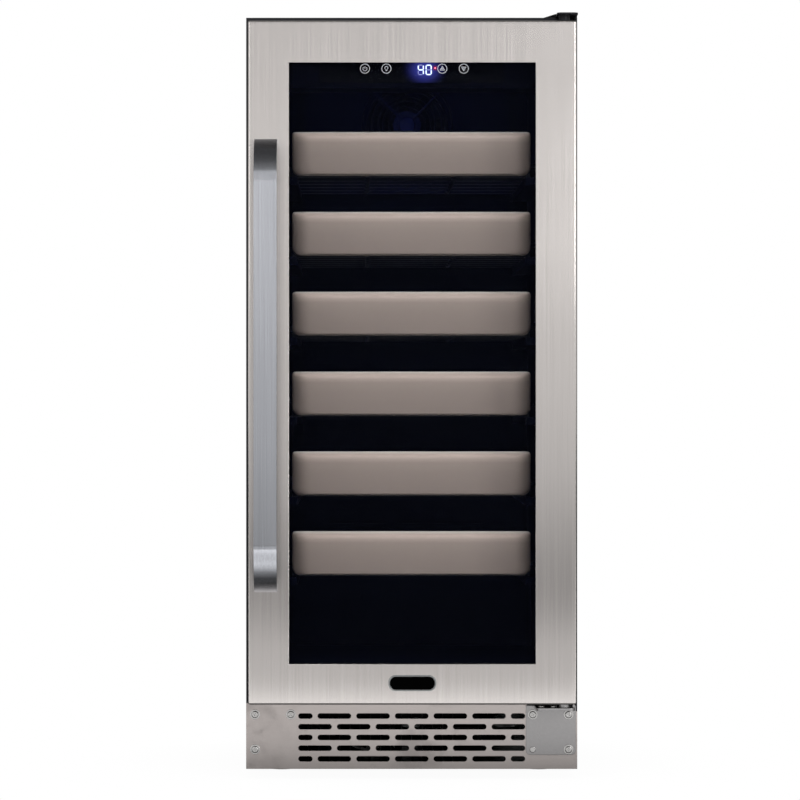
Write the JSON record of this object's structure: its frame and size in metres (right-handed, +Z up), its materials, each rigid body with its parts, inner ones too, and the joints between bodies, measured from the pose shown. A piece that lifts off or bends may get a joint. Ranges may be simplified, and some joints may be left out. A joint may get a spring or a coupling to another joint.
{
  "type": "wine cooler",
  "caption": "Slim under-counter wine cooler with a right-hinged glass door in a brushed steel frame, tall bar handle, pull-out bottle shelves and a slotted kick plate.",
  "frame": {"origin": "on the floor, under the middle of the whole outline", "axes": "+Z up, the door faces -Y, the hinge side is +X"},
  "size_m": [0.372, 0.597, 0.8604],
  "materials": {
    "black_enamel": "satin black enamel",
    "black_frame": "fine-grained black plastic",
    "galvanised_steel": "spangled zinc",
    "brushed_stainless": "vertical fine brushing",
    "kick_stainless": "fine brushing",
    "handle_stainless": "lengthwise brushing",
    "hinge_steel": "plain plated steel",
    "screw_steel": "bright plated",
    "foam": "rigid foam",
    "liner_black": "smooth black plastic",
    "duct_black": "smooth black plastic",
    "fan_plastic": "satin black",
    "guard_plastic": "gloss black",
    "circuit_board": "green circuit board",
    "display_black": "polished black",
    "digit_light": "lit segments",
    "light_lens": "frosted lens",
    "evaporator_aluminium": "matt rolled",
    "fin_aluminium": "black painted",
    "copper_line": "drawn copper",
    "compressor_black": "gloss black paint",
    "rubber_black": "matt rubber",
    "tray_plastic": "moulded",
    "clear_glass": "clear",
    "spacer_aluminium": "satin",
    "bush_nylon": "natural nylon",
    "badge_finish": "bright rim, black face",
    "shelf_front": "satin taupe steel",
    "rack_black": "black coated steel"
  },
  "bodies": {
    "cabinet": {"cabinet_wrapper": "black_enamel", "face_frame": "black_enamel", "rear_panel": "galvanised_steel", "compressor_cover": "galvanised_steel", "wall_spacers": "black_frame", "base_pan": "black_enamel", "compartment_deck": "galvanised_steel", "foam_insulation": "foam", "inner_liner": "liner_black", "toe_kick": "kick_stainless", "case_screws": "screw_steel", "lower_hinge_bracket": "hinge_steel", "upper_hinge_bracket": "black_enamel", "hinge_cover": "black_frame", "compressor": "compressor_black", "compressor_grommets": "rubber_black", "condenser_coil": "fin_aluminium", "condenser_fan_frame": "fan_plastic", "filter_drier": "copper_line", "refrigerant_lines": "copper_line", "drain_pan": "tray_plastic", "mains_gland": "rubber_black", "control_board": "circuit_board", "evaporator": "evaporator_aluminium", "duct_panel": "duct_black", "circulation_fan_frame": "fan_plastic", "fan_guard": "guard_plastic", "control_housing": "duct_black", "display_panel": "display_black", "display_digits": "digit_light", "light_strip": "light_lens"},
    "door": {"door_skin": "brushed_stainless", "door_core": "black_frame", "outer_glass": "clear_glass", "inner_glass": "clear_glass", "glass_spacer": "spacer_aluminium", "door_gasket": "rubber_black", "door_bushes": "bush_nylon", "handle_bar": "handle_stainless", "handle_screws": "screw_steel", "badge_plate": "badge_finish"},
    "circulation_fan": {"circulation_fan_rotor": "fan_plastic"},
    "condenser_fan": {"condenser_fan_rotor": "fan_plastic"},
    "shelf_1": {"shelf_1_trim": "shelf_front", "shelf_1_rack": "rack_black"},
    "shelf_2": {"shelf_2_trim": "shelf_front", "shelf_2_rack": "rack_black"},
    "shelf_3": {"shelf_3_trim": "shelf_front", "shelf_3_rack": "rack_black"},
    "shelf_4": {"shelf_4_trim": "shelf_front", "shelf_4_rack": "rack_black"},
    "shelf_5": {"shelf_5_trim": "shelf_front", "shelf_5_rack": "rack_black"},
    "shelf_6": {"shelf_6_trim": "shelf_front", "shelf_6_rack": "rack_black"},
    "foot_front_left": {"foot_front_left": "rubber_black"},
    "foot_front_right": {"foot_front_right": "rubber_black"},
    "foot_back_left": {"foot_back_left": "rubber_black"},
    "foot_back_right": {"foot_back_right": "rubber_black"}
  },
  "joints": [
    {"name": "door_hinge", "type": "hinge", "parent": "cabinet", "child": "door", "pos_m": [0.1698, -0.2385, 0.4681], "axis": [0, 0, 1], "range_deg": [0, 115]},
    {"name": "circulation_fan_spin", "type": "hinge", "parent": "cabinet", "child": "circulation_fan", "pos_m": [0, 0.2225, 0.7639], "axis": [0, 1, 0], "continuous": true},
    {"name": "condenser_fan_spin", "type": "hinge", "parent": "cabinet", "child": "condenser_fan", "pos_m": [-0.05, -0.002, 0.0525], "axis": [0, 1, 0], "continuous": true},
    {"name": "shelf_1_slide", "type": "slide", "parent": "cabinet", "child": "shelf_1", "axis": [0, -1, 0], "range_m": [0, 0.1201]},
    {"name": "shelf_2_slide", "type": "slide", "parent": "cabinet", "child": "shelf_2", "axis": [0, -1, 0], "range_m": [0, 0.1201]},
    {"name": "shelf_3_slide", "type": "slide", "parent": "cabinet", "child": "shelf_3", "axis": [0, -1, 0], "range_m": [0, 0.1201]},
    {"name": "shelf_4_slide", "type": "slide", "parent": "cabinet", "child": "shelf_4", "axis": [0, -1, 0], "range_m": [0, 0.1201]},
    {"name": "shelf_5_slide", "type": "slide", "parent": "cabinet", "child": "shelf_5", "axis": [0, -1, 0], "range_m": [0, 0.1201]},
    {"name": "shelf_6_slide", "type": "slide", "parent": "cabinet", "child": "shelf_6", "axis": [0, -1, 0], "range_m": [0, 0.1201]},
    {"name": "foot_front_left_screw", "type": "slide", "parent": "cabinet", "child": "foot_front_left", "axis": [0, 0, -1], "range_m": [0, 0.018]},
    {"name": "foot_front_right_screw", "type": "slide", "parent": "cabinet", "child": "foot_front_right", "axis": [0, 0, -1], "range_m": [0, 0.018]},
    {"name": "foot_back_left_screw", "type": "slide", "parent": "cabinet", "child": "foot_back_left", "axis": [0, 0, -1], "range_m": [0, 0.018]},
    {"name": "foot_back_right_screw", "type": "slide", "parent": "cabinet", "child": "foot_back_right", "axis": [0, 0, -1], "range_m": [0, 0.018]}
  ],
  "couplings": [
    {"joint": "shelf_1_slide", "follows": "door_hinge", "m_per_rad": 0.05979},
    {"joint": "shelf_2_slide", "follows": "door_hinge", "m_per_rad": 0.05979},
    {"joint": "shelf_3_slide", "follows": "door_hinge", "m_per_rad": 0.05979},
    {"joint": "shelf_4_slide", "follows": "door_hinge", "m_per_rad": 0.05979},
    {"joint": "shelf_5_slide", "follows": "door_hinge", "m_per_rad": 0.05979},
    {"joint": "shelf_6_slide", "follows": "door_hinge", "m_per_rad": 0.05979}
  ]
}
